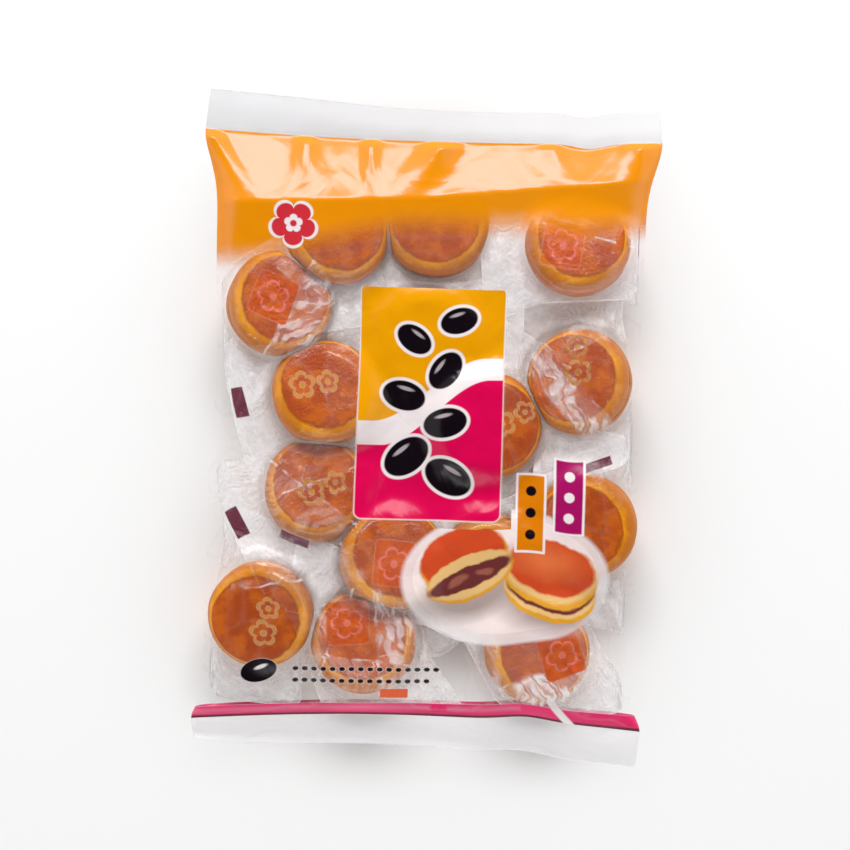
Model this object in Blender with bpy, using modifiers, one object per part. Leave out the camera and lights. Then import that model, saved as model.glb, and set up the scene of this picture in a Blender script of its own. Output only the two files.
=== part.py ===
"""Clear pillow bag of small filled pancakes, lying on its back with its printed front up.

The bag is one closed soft solid: a filled body that bulges over each sweet, a fold across the
front from which the film slopes down to the top seal, sides that the filling has drawn in,
corners that stay at the film's flat width, and a thin fin past each end seal that droops to the
table. Lengths are in millimetres, heights are above the table, and
MILLIMETRE turns them into metres. The bag's top end is towards +Y and +Z is up.
"""
import math
from collections import namedtuple

import bmesh
import bpy

MILLIMETRE = 0.001

# Driving dimensions of the film tube
SEAL_WIDTH_TOP = 205.5
SEAL_WIDTH_BOTTOM = 202.0
SEAL_TO_SEAL = 265.5
TOP_FIN = 18.5
BOTTOM_FIN = 17.5
FIN_THICKNESS = 1.0
SIDE_DRAW = 5.4  # how far the filled body is narrower than its seals, on each side
TOP_FLARE = 18.0  # how far down from the top seal the corners flare out
BOTTOM_FLARE = 8.0

# Driving dimensions of the filled body
SWEET_DIAMETER = 47.5
SWEET_THICKNESS = 20.0
SWEET_FOOT = 20.0  # radius of the edge that a leaning sweet stands on
FILM_OVER_SWEET = 1.5  # its wrapper and some air
SLACK_HEIGHT = 18.5  # the front film between two sweets
SIDE_HEIGHT = 10.5  # the widest line of the rounded sides
TOP_SEAL_HEIGHT = 14.0
BOTTOM_SEAL_HEIGHT = 12.0
RIDGE_PLACE = 104.0  # where the fold crosses the front, along Y
RIDGE_HEIGHT = 8.0  # how far the fold's middle stands above the slack film
RIDGE_FALL = 0.035  # how much lower the fold is for each millimetre to the right
FRONT_WEDGE = 4.0  # how far below the top seal the front is full, and the back
BACK_WEDGE = 34.0
BOTTOM_WEDGE = 17.0
FLAT_SHARE = 0.985  # the underside lies on the table where the body is this full

# The sweets as they lie: place, height of the lowest point, how steeply the sweet leans and the
# direction of its low side, in degrees from +X
Sweet = namedtuple("Sweet", "x y base lean low_side")
SWEETS = [
    Sweet(-67.0, 55.0, 1.0, 11, 40),
    Sweet(-42.0, 87.4, 1.5, 8, 50),
    Sweet(1.9, 92.8, 0.6, 3, 90),
    Sweet(66.1, 85.9, 1.0, 15, 75),
    Sweet(-45.5, 15.3, 1.5, 13, 80),
    Sweet(68.6, 24.3, 1.0, 10, 160),
    Sweet(28.5, 3.5, 1.5, 9, 350),
    Sweet(-47.5, -28.0, 1.0, 8, 88),
    Sweet(-12.6, -58.0, 2.0, 14, 50),
    Sweet(73.3, -40.9, 1.0, 8, 200),
    Sweet(-70.7, -84.6, 1.0, 10, 225),
    Sweet(-24.5, -95.5, 1.0, 9, 95),
    Sweet(53.6, -97.8, 1.0, 8, 0),
    Sweet(-1.0, 40.5, 1.0, 3, 270),
    Sweet(31.5, -60.0, 1.0, 4, 250),
]

# The cage that Subdivision Surface rounds
COLUMNS = 20
BODY_ROWS = 27
FIN_ROWS = 2
ROWS = BODY_ROWS + 2 * FIN_ROWS


def blend(start, end, share):
    return start + (end - start) * share


def rise(share, power):
    """From 0 at a seal to 1 where the body is full, steep at first."""
    share = min(max(share, 0.0), 1.0)
    return math.sqrt(1.0 - (1.0 - share) ** power)


def seal_line(x, top):
    """The end seal's distance along Y, which the filling draws in at the middle."""
    across = 1.0 - (x / (SEAL_WIDTH_TOP / 2)) ** 2
    if top:
        pleat = 2.2 * math.exp(-(((x - 69.0) / 9.0) ** 2))
        return SEAL_TO_SEAL / 2 - 2.8 * across - pleat
    pleat = 2.0 * math.exp(-(((x - 50.0) / 14.0) ** 2))
    return -SEAL_TO_SEAL / 2 + 4.4 * across + pleat


def seal_height(x, top):
    if top:
        return TOP_SEAL_HEIGHT + 1.0 * math.sin(x / 21.0 + 0.6)
    corner = 1.2 * math.exp(-(((x + 100.0) / 30.0) ** 2))
    return BOTTOM_SEAL_HEIGHT + 0.8 * math.sin(x / 17.0) + corner


def half_width(side, y):
    """Half of the width at y: flared at both seals, drawn in and a little uneven between."""
    from_top = SEAL_TO_SEAL / 2 - y
    from_bottom = SEAL_TO_SEAL / 2 + y
    drawn = SEAL_WIDTH_BOTTOM / 2 - SIDE_DRAW + 1.0
    top_flare = (SEAL_WIDTH_TOP / 2 - drawn) * math.exp(-((from_top / TOP_FLARE) ** 2))
    bottom_flare = (SEAL_WIDTH_BOTTOM / 2 - drawn) * math.exp(-((from_bottom / BOTTOM_FLARE) ** 2))
    waist = 2.0 if side < 0 else 1.0
    return drawn + top_flare + bottom_flare - waist * math.exp(-(((y - 30.0) / 32.0) ** 2))


def sweet_top(sweet, x, y):
    """Height of the plane through a leaning sweet's upper face."""
    lean = math.radians(sweet.lean)
    low = math.radians(sweet.low_side)
    middle = sweet.base + SWEET_THICKNESS / 2 * math.cos(lean) + SWEET_FOOT * math.sin(lean)
    along = (x - sweet.x) * math.cos(low) + (y - sweet.y) * math.sin(low)
    return middle + SWEET_THICKNESS / 2 / math.cos(lean) - math.tan(lean) * along


def fold_line(x):
    """Where the fold crosses the front, a little askew."""
    return RIDGE_PLACE + 0.115 * max(x, 0.0) + 0.05 * min(x, 0.0)


def ridge_lift(x, y):
    """Height above the slack film of the fold and of the slope from it to the top seal."""
    fold = fold_line(x)
    top = RIDGE_HEIGHT - RIDGE_FALL * x
    fall = (top + SLACK_HEIGHT - seal_height(x, True)) / (seal_line(x, True) - fold)
    return top - fall * max(y - fold, 0.0) - 0.16 * max(fold - y, 0.0)


def front_lift(x, y):
    """How far the sweets below and the fold hold the front film above its slack height."""
    total = 0.0
    for sweet in SWEETS:
        away = math.hypot(x - sweet.x, y - sweet.y) / (0.56 * SWEET_DIAMETER)
        lift = max(sweet_top(sweet, x, y) + FILM_OVER_SWEET - SLACK_HEIGHT, 0.0)
        total += (lift / (1.0 + away**8)) ** 4
    ridge = ridge_lift(x, y)
    past_fold = y - fold_line(x)
    if ridge < 0.0 < past_fold:
        return ridge
    total *= min(max(1.0 - past_fold / 6.0, 0.0), 1.0) ** 2
    return (total + max(ridge, 0.0) ** 4) ** 0.25


def fullness(x, y, side, wedge):
    """1 where the body is full, 0 along its rounded sides and its two seals."""
    across = math.sqrt(max(0.0, 1.0 - abs(x / half_width(side, y)) ** 14))
    top = rise((seal_line(x, True) - y) / wedge, 2.2)
    bottom = rise((y - seal_line(x, False)) / BOTTOM_WEDGE, 2.6)
    return across * top * bottom


def body_point(share_across, share_along, face):
    """A point of the filled body. face is 1 on the printed front and -1 on the back."""
    side = 1 if share_across >= 0 else -1
    across = 0.45 * share_across + 0.55 * math.sin(share_across * math.pi / 2)
    along = 0.6 * share_along + 0.4 * math.sin(share_along * math.pi / 2)
    middle = across * SEAL_WIDTH_BOTTOM / 2
    y = blend(seal_line(middle, False), seal_line(middle, True), (along + 1) / 2)
    x = across * half_width(side, y)
    near_top = math.exp(-(((seal_line(x, True) - y) / 24.0) ** 2))
    near_bottom = math.exp(-(((y - seal_line(x, False)) / 12.0) ** 2))
    seam = SIDE_HEIGHT + (seal_height(x, True) - SIDE_HEIGHT) * near_top
    seam += (seal_height(x, False) - SIDE_HEIGHT) * near_bottom
    if face > 0:
        front = SLACK_HEIGHT + front_lift(x, y)
        return x, y, blend(seam + FIN_THICKNESS / 2, front, fullness(x, y, side, FRONT_WEDGE))
    empty = max(0.0, FLAT_SHARE - fullness(x, y, side, BACK_WEDGE)) / FLAT_SHARE
    return x, y, (seam - FIN_THICKNESS / 2) * empty**1.3


def fin_curl(x, top):
    """How far the fin has turned down at its free edge, in radians."""
    if top:
        return 0.35 + 0.85 / (1.0 + math.exp(-(x + 45.0) / 18.0))
    return 0.55 + 0.55 / (1.0 + math.exp((x - 45.0) / 14.0)) + 0.85 * math.exp((-102.0 - x) / 22.0)


def fin_point(share_across, share_out, top, face):
    """A point of an end fin, on an arc that starts level at the seal and turns down."""
    across = 0.45 * share_across + 0.55 * math.sin(share_across * math.pi / 2)
    width = SEAL_WIDTH_TOP if top else SEAL_WIDTH_BOTTOM
    x = across * width / 2
    length = TOP_FIN if top else BOTTOM_FIN
    curl = fin_curl(x, top)
    turned = curl * share_out
    radius = length / curl
    out = radius * math.sin(turned)
    down = radius * (1.0 - math.cos(turned))
    offset = face * FIN_THICKNESS / 2
    direction = 1 if top else -1
    y = seal_line(x, top) + direction * (out + offset * math.sin(turned))
    z = seal_height(x, top) - down + offset * math.cos(turned)
    return x * (1.0 - 0.015 * share_out), y, z


def bag_point(corner):
    """Where a point of the 2 by 2 by 2 cage goes: fins at both ends, the body between."""
    row = round((corner.y + 1) / 2 * ROWS)
    face = 1 if corner.z > 0 else -1
    if row < FIN_ROWS:
        return fin_point(corner.x, 1 - row / FIN_ROWS, False, face)
    if row > ROWS - FIN_ROWS:
        return fin_point(corner.x, 1 - (ROWS - row) / FIN_ROWS, True, face)
    return body_point(corner.x, 2 * (row - FIN_ROWS) / BODY_ROWS - 1, face)


def along_axis(edges, axis):
    return [edge for edge in edges if abs(edge.verts[0].co[axis] - edge.verts[1].co[axis]) > 1e-5]


def bag_mesh():
    cage = bmesh.new()
    bmesh.ops.create_cube(cage, size=2.0)
    bmesh.ops.subdivide_edges(cage, edges=along_axis(cage.edges, 0), cuts=COLUMNS - 1)
    bmesh.ops.subdivide_edges(cage, edges=along_axis(cage.edges, 1), cuts=ROWS - 1)
    crease = cage.edges.layers.float.new("crease_edge")
    for edge in cage.edges:
        if edge.calc_face_angle(0.0) > math.radians(60):
            edge[crease] = 1.0
    for vertex in cage.verts:
        vertex.co = [MILLIMETRE * value for value in bag_point(vertex.co)]
    lows = [min(vertex.co[axis] for vertex in cage.verts) for axis in range(3)]
    highs = [max(vertex.co[axis] for vertex in cage.verts) for axis in range(3)]
    to_middle = [-(low + high) / 2 for low, high in zip(lows, highs)]
    bmesh.ops.translate(cage, verts=cage.verts, vec=(to_middle[0], to_middle[1], -lows[2]))
    bmesh.ops.recalc_face_normals(cage, faces=cage.faces)
    mesh = bpy.data.meshes.new("bag")
    cage.to_mesh(mesh)
    cage.free()
    mesh.shade_smooth()
    return mesh


def film_material():
    """Printed clear film over brown sweets, as one even colour."""
    material = bpy.data.materials.new("bag_film")
    material.use_nodes = True
    shader = material.node_tree.nodes["Principled BSDF"]
    shader.inputs["Base Color"].default_value = (0.80, 0.50, 0.28, 1.0)
    shader.inputs["Roughness"].default_value = 0.22
    shader.inputs["Metallic"].default_value = 0.0
    return material


def build_bag():
    collection = bpy.data.collections.new("dorayaki_bag")
    bpy.context.scene.collection.children.link(collection)
    bag = bpy.data.objects.new("bag", bag_mesh())
    collection.objects.link(bag)
    bag.data.materials.append(film_material())
    rounding = bag.modifiers.new("rounding", "SUBSURF")
    rounding.levels = 1
    rounding.render_levels = 1


for old in list(bpy.data.objects):
    bpy.data.objects.remove(old, do_unlink=True)
build_bag()
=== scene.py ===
import math

import bmesh
import bpy
import numpy as np
from mathutils import Euler, Matrix, Vector, noise


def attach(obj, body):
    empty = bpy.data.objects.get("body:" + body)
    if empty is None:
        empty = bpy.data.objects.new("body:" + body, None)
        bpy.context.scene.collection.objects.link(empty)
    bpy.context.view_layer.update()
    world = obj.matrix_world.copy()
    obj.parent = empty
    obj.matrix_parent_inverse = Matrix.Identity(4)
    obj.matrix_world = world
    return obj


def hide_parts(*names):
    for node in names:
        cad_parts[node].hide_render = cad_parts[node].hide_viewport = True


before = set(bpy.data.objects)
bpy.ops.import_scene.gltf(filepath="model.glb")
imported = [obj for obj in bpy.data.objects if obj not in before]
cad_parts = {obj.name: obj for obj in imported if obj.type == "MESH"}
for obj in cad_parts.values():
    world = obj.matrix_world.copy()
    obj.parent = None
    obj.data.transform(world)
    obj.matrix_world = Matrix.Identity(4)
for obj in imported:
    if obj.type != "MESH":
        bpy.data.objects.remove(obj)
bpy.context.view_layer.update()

millimetre = 0.001

# The bag lies on its back: its top end towards +Y, its printed front towards +Z.
# Lengths here are in millimetres until a mesh is written.
bag = {
    "sealWidthTop": 205.5,
    "sealWidthBottom": 202.0,
    "sealToSeal": 265.5,
    "topFin": 18.5,
    "bottomFin": 17.5,
    "filmGap": 0.35,  # between the two films of a fin
    # The sides: how far the filling draws them in, how far from a seal they flare out to it, and
    # how much narrower the waist is, with its place and length
    "sideDraw": 4.4,
    "topFlare": 18.0,
    "bottomFlare": 8.0,
    "waistLeft": 2.0,
    "waistRight": 1.0,
    "waistPlace": (30.0, 32.0),
    # The end seals: how far the filling draws them in at their middle, and the depth, place and
    # width of a pleat in each
    "topBow": 2.8,
    "bottomBow": 4.4,
    "topPleat": (2.2, 69.0, 9.0),
    "bottomPleat": (2.0, 50.0, 14.0),
    # Heights above the table: of the front where nothing lifts it, of the sides and of the seals
    "slackHeight": 18.5,
    "sideHeight": 10.5,
    "topSealHeight": 14.0,
    "bottomSealHeight": 12.0,
    # How the seals wave: height, length and start. And how the bottom one turns up at its left end
    "topWave": (1.0, 21.0, 0.6),
    "bottomWave": (0.8, 17.0, 0.0),
    "leftUpturn": (1.2, -100.0, 30.0),
    # Over what length the sides rise or fall to the top and to the bottom seal
    "seamLengths": (24.0, 12.0),
    # How far from a seal the body is full: in front, behind and at the bottom, and from what
    # fullness the back lies flat
    "topWedge": 4.0,
    "backWedge": 34.0,
    "bottomWedge": 17.0,
    "flatShare": 0.985,
    # How squarely it fills out at its sides, its top and its bottom
    "sidePower": 14,
    "topPower": 2.2,
    "bottomPower": 2.6,
    # How far past a sweet's edge, as a share of its radius, and how far above it the film lies
    "liftReach": 1.12,
    "liftGap": 1.5,
    # The fold across the front below the top seal: its place, its slope on the left and right,
    # how far it stands above the slack film, and how that falls to the right and below the fold
    "foldPlace": 104.0,
    "foldSlopes": (0.05, 0.115),
    "ridge": 8.0,
    "ridgeFall": 0.035,
    "ridgeFoot": 0.16,
}

# The sweets, each where it lies: the height of its lowest point, how steeply it leans and the
# direction of its low side. Its wrapper: which way the marked end points, its ink (0 gold, 1 red,
# 2 none that shows), how wide a dark mark shows at that end, how crumpled it is over the face and
# how cloudy, and where its printed figure lies from the sweet's middle and how it is turned. Last,
# how pale a gold the sweet's edge is.
sweetSize = {"radius": 23.75, "thickness": 20.0, "footRadius": 20.0}
sweetFields = ("x", "y", "base", "lean", "lowSide", "turn", "ink", "mark", "crumple", "veil",
               "figureX", "figureY", "figureTurn", "golden")
sweets = [dict(zip(sweetFields, row)) for row in (
    (-67.0, 55.0, 1.0, 11, 40, 215, 1, 0, 1.8, 0.01, -4.0, 1.0, -20, 0.6),
    (-42.0, 87.4, 1.5, 8, 50, 100, 2, 0, 0.5, 0.015, 0.0, 0.0, 0, 0.35),
    (1.9, 92.8, 0.6, 3, 90, 85, 2, 0, 0.5, 0.03, 0.0, 0.0, 0, 0.3),
    (66.1, 85.9, 1.0, 15, 75, 5, 1, 1, 1.2, 0.0, -8.0, -4.0, -10, 0.35),
    (-45.5, 15.3, 1.5, 13, 80, 196, 0, 1.5, 0.3, 0.0, -4.4, 1.6, -80, 0.9),
    (68.6, 24.3, 1.0, 10, 160, 290, 0, 1, 2.6, 0.01, 0.0, 9.0, 5, 0.45),
    (28.5, 3.5, 1.5, 9, 350, 60, 0, 0, 0.8, 0.0, 9.0, 4.0, -60, 0.5),
    (-47.5, -28.0, 1.0, 8, 88, 210, 0, 1.5, 1.6, 0.01, 3.0, 0.0, -65, 0.3),
    (-12.6, -58.0, 2.0, 14, 50, 172, 1, 0, 0.3, 0.0, -1.0, -3.7, -4, 1.0),
    (73.3, -40.9, 1.0, 8, 200, 80, 2, 0, 0.5, 0.0, 0.0, 0.0, 0, 0.15),
    (-70.7, -84.6, 1.0, 10, 225, 70, 0, 1, 0.2, 0.0, 3.5, -1.0, -11, 1.0),
    (-24.5, -95.5, 1.0, 9, 95, 290, 1, 0, 1.8, 0.03, -7.0, 7.0, 4, 0.3),
    (53.6, -97.8, 1.0, 8, 0, 300, 1, 0, 1.8, 0.06, 9.0, -1.0, 20, 0.5),
    (-1.0, 40.5, 1.0, 3, 270, 0, 0, 0, 0.2, 0.02, 0.0, 0.0, 0, 0.6),
    (31.5, -60.0, 1.0, 4, 250, 20, 1, 0, 0.2, 0.02, 0.0, 0.0, 0, 0.6),
)]


def blendTo(start, end, share):
    return start + (end - start) * share


def ramp(value, start, length):  # 0 up to the start, and 1 from the length's end on
    return np.clip((value - start) / length, 0.0, 1.0)


def hump(x, height, middle, width):  # a smooth swelling
    return height * np.exp(-(((x - middle) / width) ** 2))


def sealLine(x, top):  # where an end seal runs
    across = 1.0 - (x / (bag["sealWidthTop"] / 2)) ** 2
    if top:
        return bag["sealToSeal"] / 2 - bag["topBow"] * across - hump(x, *bag["topPleat"])
    return -bag["sealToSeal"] / 2 + bag["bottomBow"] * across + hump(x, *bag["bottomPleat"])


def sealHeight(x, top):
    height, length, start = bag["topWave" if top else "bottomWave"]
    wave = height * np.sin(x / length + start)
    if top:
        return bag["topSealHeight"] + wave
    return bag["bottomSealHeight"] + wave + hump(x, *bag["leftUpturn"])


drawnHalf = bag["sealWidthBottom"] / 2 - bag["sideDraw"]  # half the bag's width between its flares


def halfWidth(side, y):  # flared at both seals, drawn in and a little uneven between
    atTop, atBottom = bag["sealWidthTop"] / 2 - drawnHalf, bag["sealWidthBottom"] / 2 - drawnHalf
    flares = hump(y, atTop, bag["sealToSeal"] / 2, bag["topFlare"])
    flares = flares + hump(y, atBottom, -bag["sealToSeal"] / 2, bag["bottomFlare"])
    waist = np.where(side < 0, bag["waistLeft"], bag["waistRight"])
    return drawnHalf + flares - hump(y, waist, *bag["waistPlace"])


def sweetMiddle(sweet):  # the height of a leaning sweet's middle above the table
    lean = math.radians(sweet["lean"])
    half = sweetSize["thickness"] / 2
    return sweet["base"] + half * math.cos(lean) + sweetSize["footRadius"] * math.sin(lean)


def sweetTop(sweet, x, y):  # the plane of its upper face
    lean = math.radians(sweet["lean"])
    low = math.radians(sweet["lowSide"])
    along = (x - sweet["x"]) * math.cos(low) + (y - sweet["y"]) * math.sin(low)
    above = sweetSize["thickness"] / 2 / math.cos(lean)
    return sweetMiddle(sweet) + above - math.tan(lean) * along


def foldLine(x):
    left, right = bag["foldSlopes"]
    return bag["foldPlace"] + right * np.maximum(x, 0.0) + left * np.minimum(x, 0.0)


def ridgeLift(x, y):  # the front slopes straight up from the top seal to the fold
    fold = foldLine(x)
    top = bag["ridge"] - bag["ridgeFall"] * x
    drop = (top + bag["slackHeight"] - sealHeight(x, True)) / (sealLine(x, True) - fold)
    foot = bag["ridgeFoot"] * np.maximum(fold - y, 0.0)
    return top - drop * np.maximum(y - fold, 0.0) - foot


def liftOverSweets(x, y):  # how far the sweets and the fold lift the front film where it is slack
    total = 0.0
    for sweet in sweets:
        away = np.hypot(x - sweet["x"], y - sweet["y"]) / (bag["liftReach"] * sweetSize["radius"])
        lift = np.maximum(sweetTop(sweet, x, y) + bag["liftGap"] - bag["slackHeight"], 0.0)
        total = total + (lift / (1.0 + away**8)) ** 4
    ridge = ridgeLift(x, y)
    pastFold = y - foldLine(x)
    total = total * np.clip(1.0 - pastFold / 6.0, 0.0, 1.0) ** 2
    lifted = (total + np.maximum(ridge, 0.0) ** 4) ** 0.25
    return np.where((ridge < 0.0) & (pastFold > 0.0), ridge, lifted)


def rise(share, power):
    return np.sqrt(1.0 - (1.0 - np.clip(share, 0.0, 1.0)) ** power)


def fullness(x, y, side, wedge):  # 1 where the body is full, 0 along its sides and seals
    across = np.abs(x / halfWidth(side, y))
    across = np.sqrt(np.maximum(0.0, 1.0 - across ** bag["sidePower"]))
    top = rise((sealLine(x, True) - y) / bag[wedge], bag["topPower"])
    bottom = rise((y - sealLine(x, False)) / bag["bottomWedge"], bag["bottomPower"])
    return across * top * bottom


def seamHeight(x, y):  # the edge where front and back meet
    side = bag["sideHeight"]
    topLength, bottomLength = bag["seamLengths"]
    atTop = hump(y, sealHeight(x, True) - side, sealLine(x, True), topLength)
    atBottom = hump(y, sealHeight(x, False) - side, sealLine(x, False), bottomLength)
    return side + atTop + atBottom


def creases(x, y, size, seed, folds=7):
    # flat facets between straight folds, as in film that has been crumpled, from -1 to 1
    draw = np.random.default_rng(seed)
    total = 0.0
    for fold in range(folds):
        angle = math.pi * (fold + draw.uniform(0.1, 0.9)) / folds
        length = size * draw.uniform(0.8, 1.9)
        along = x * math.cos(angle) + y * math.sin(angle)
        across = y * math.cos(angle) - x * math.sin(angle)
        bend = 0.3 * np.sin(across / (2.3 * size) + draw.uniform(0, 6))
        wave = np.abs((along / length + bend + draw.uniform(0, 1)) % 1.0 - 0.5) * 4.0 - 1.0
        shown = 0.5 + 0.5 * np.sin(across / (1.7 * size) + draw.uniform(0, 6))
        shown = shown * (0.5 + 0.5 * np.sin(along / (3.1 * size) + draw.uniform(0, 6)))
        total = total + wave * shown * length / size
    return total / math.sqrt(folds)


# Folds in the front between the top seal and the fold across the bag: where each starts at the
# seal and ends at the fold, and how far it stands out. The film between two folds at 0 is taut.
wedgeFolds = (
    (-104, -104, 3.6), (-101, -81, 4.2), (-95, -74, 0.0), (-63, -68, 0.0), (-57, -57, 4.5),
    (-53, -41, 0.0), (-33, -33, 0.0), (-28, -29, 4.5), (-24, -21, 0.0), (-5, -24, 0.0),
    (5, -8, 6.5), (15, 4, 0.0), (45, 50, 0.0), (53, 57, 2.5), (58, 66, 0.0), (83, 80, 0.0),
    (93, 91, 5.0), (104, 104, 0.0),
)


def wedgeRelief(x, y):
    share = ramp(sealLine(x, True) - y, 0.0, sealLine(x, True) - foldLine(x))
    relief = np.zeros_like(x)
    for first, second in zip(wedgeFolds, wedgeFolds[1:]):
        left = blendTo(first[0], first[1], share)
        right = blendTo(second[0], second[1], share)
        part = (x - left) / (right - left)
        relief = np.where((part >= 0) & (part < 1), blendTo(first[2], second[2], part), relief)
    return relief * ramp(share, 0.0, 0.12) * (1.0 - share)


def frontHeight(x, y, side):
    full = fullness(x, y, side, "topWedge")
    crown = bag["slackHeight"] + liftOverSweets(x, y)
    return blendTo(seamHeight(x, y) + bag["filmGap"] / 2, crown, full)


def backHeight(x, y, side):
    empty = np.maximum(0.0, bag["flatShare"] - fullness(x, y, side, "backWedge")) / bag["flatShare"]
    return (seamHeight(x, y) - bag["filmGap"] / 2) * empty**1.3


def closeMesh(bm, name):
    mesh = bpy.data.meshes.new(name)
    bm.to_mesh(mesh)
    bm.free()
    return mesh


def filmSlab(columns, rows):  # a closed slab of cells, whose points are then moved into place
    bm = bmesh.new()
    bmesh.ops.create_grid(bm, x_segments=columns, y_segments=rows, size=1.0)
    raised = bmesh.ops.extrude_face_region(bm, geom=bm.faces[:])
    top = [item for item in raised["geom"] if isinstance(item, bmesh.types.BMVert)]
    bmesh.ops.translate(bm, verts=top, vec=(0.0, 0.0, 1.0))
    bmesh.ops.recalc_face_normals(bm, faces=bm.faces[:])
    return closeMesh(bm, "film")


def readPoints(mesh):
    points = np.empty(len(mesh.vertices) * 3)
    mesh.vertices.foreach_get("co", points)
    return points.reshape(-1, 3)


def writePoints(mesh, points):
    mesh.vertices.foreach_set("co", points.astype(np.float32).ravel())
    mesh.update()


def writeUv(mesh, across, along):  # one UV point for each vertex, in the piece's own map
    uv = mesh.uv_layers.new(name="flat")
    corner = np.empty(len(mesh.loops), dtype=np.int32)
    mesh.loops.foreach_get("vertex_index", corner)
    points = np.stack([across[corner], along[corner]], 1).astype(np.float32)
    uv.data.foreach_set("uv", points.ravel())


def addNumber(mesh, name, values):  # a number for each vertex, or one for all
    attribute = mesh.attributes.new(name, "FLOAT", "POINT")
    values = np.broadcast_to(values, len(mesh.vertices))
    attribute.data.foreach_set("value", np.ascontiguousarray(values, np.float32))


def addPiece(name, mesh, materials):
    mesh.name = name
    piece = bpy.data.objects.new(name, mesh)
    bpy.context.scene.collection.objects.link(piece)
    for material in materials:
        mesh.materials.append(material)
    mesh.shade_smooth()
    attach(piece, "root")
    return piece


# Shader nodes
def addNode(tree, kind, **settings):
    made = tree.nodes.new(kind)
    for name, value in settings.items():
        setattr(made, name, value)
    return made


def feed(tree, socket, value):  # a link from another socket, or a plain value
    if isinstance(value, bpy.types.NodeSocket):
        tree.links.new(value, socket)
    else:
        socket.default_value = value


def calc(tree, operation, *values, clamp=False):
    made = addNode(tree, "ShaderNodeMath", operation=operation, use_clamp=clamp)
    for socket, value in zip(made.inputs, values):
        feed(tree, socket, value)
    return made.outputs[0]


def vectorCalc(tree, operation, *values, output=0):
    made = addNode(tree, "ShaderNodeVectorMath", operation=operation)
    for socket, value in zip(made.inputs, values):
        feed(tree, socket, value)
    return made.outputs[output]


def distanceFrom(tree, place):
    return vectorCalc(tree, "LENGTH", place, output=1)


def join(tree, x, y):
    made = addNode(tree, "ShaderNodeCombineXYZ")
    feed(tree, made.inputs[0], x)
    feed(tree, made.inputs[1], y)
    return made.outputs[0]


def split(tree, vector):  # its x, y and z
    made = addNode(tree, "ShaderNodeSeparateXYZ")
    feed(tree, made.inputs[0], vector)
    return made.outputs


def turnZ(tree, place, angle, invert=False):
    made = addNode(tree, "ShaderNodeVectorRotate", rotation_type="Z_AXIS", invert=invert)
    feed(tree, made.inputs["Vector"], place)
    feed(tree, made.inputs["Angle"], angle)
    return made.outputs[0]


def remap(tree, value, low, high, toLow=0.0, toHigh=1.0, smooth=False):
    made = addNode(tree, "ShaderNodeMapRange")
    made.interpolation_type = "SMOOTHSTEP" if smooth else "LINEAR"
    for socket, item in zip(made.inputs, (value, low, high, toLow, toHigh)):
        feed(tree, socket, item)
    return made.outputs[0]


def mixColour(tree, share, first, second):  # a colour is a socket, or plain red, green and blue
    made = addNode(tree, "ShaderNodeMix", data_type="RGBA")
    feed(tree, made.inputs[0], share)
    for socket, colour in ((made.inputs[6], first), (made.inputs[7], second)):
        feed(tree, socket, (*colour, 1.0) if isinstance(colour, tuple) else colour)
    return made.outputs[2]


def mixShader(tree, share, first, second):
    made = addNode(tree, "ShaderNodeMixShader")
    for socket, value in zip(made.inputs, (share, first, second)):
        feed(tree, socket, value)
    return made.outputs[0]


def noiseAt(tree, place, scale, detail=3.0, output=0, **settings):
    made = addNode(tree, "ShaderNodeTexNoise", **settings)
    feed(tree, made.inputs["Vector"], place)
    made.inputs["Scale"].default_value = scale
    made.inputs["Detail"].default_value = detail
    return made.outputs[output]


def cellsAt(tree, place, scale, **settings):
    made = addNode(tree, "ShaderNodeTexVoronoi", **settings)
    feed(tree, made.inputs["Vector"], place)
    made.inputs["Scale"].default_value = scale
    return made.outputs["Distance"]


def bumpNormal(tree, height, distance, strength=1.0):
    made = addNode(tree, "ShaderNodeBump")
    made.inputs["Strength"].default_value = strength
    made.inputs["Distance"].default_value = distance
    feed(tree, made.inputs["Height"], height)
    return made.outputs[0]


def numberAt(tree, name):  # what addNumber wrote
    return addNode(tree, "ShaderNodeAttribute", attribute_name=name).outputs["Fac"]


def newGroup(name, vectors, numbers, results=("Mask",)):
    tree = bpy.data.node_groups.new(name, "ShaderNodeTree")
    sockets = [(label, "INPUT", "NodeSocketVector") for label in vectors]
    sockets += [(label, "INPUT", "NodeSocketFloat") for label in numbers]
    sockets += [(label, "OUTPUT", "NodeSocketFloat") for label in results]
    for label, side, kind in sockets:
        tree.interface.new_socket(name=label, in_out=side, socket_type=kind)
    start, end = addNode(tree, "NodeGroupInput"), addNode(tree, "NodeGroupOutput")
    return tree, start.outputs, end.inputs


def useGroup(tree, group, **values):
    made = addNode(tree, "ShaderNodeGroup", node_tree=group)
    for name, value in values.items():
        feed(tree, made.inputs[name], value)
    return made.outputs


# The groups: print shapes, each with its place, and the relief of crumpled and of pulled film
shapeVectors = ("Place", "Centre", "Half Size")


def turnedPlace(tree, inputs):  # the place, measured from a shape's centre along its own axes
    away = vectorCalc(tree, "SUBTRACT", inputs["Place"], inputs["Centre"])
    return turnZ(tree, away, inputs["Turn"], invert=True)


def softMask(tree, inputs, distance):  # 1 within a shape's outline, with a soft edge
    return calc(tree, "SUBTRACT", 0.5, calc(tree, "DIVIDE", distance, inputs["Edge"]), clamp=True)


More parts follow.
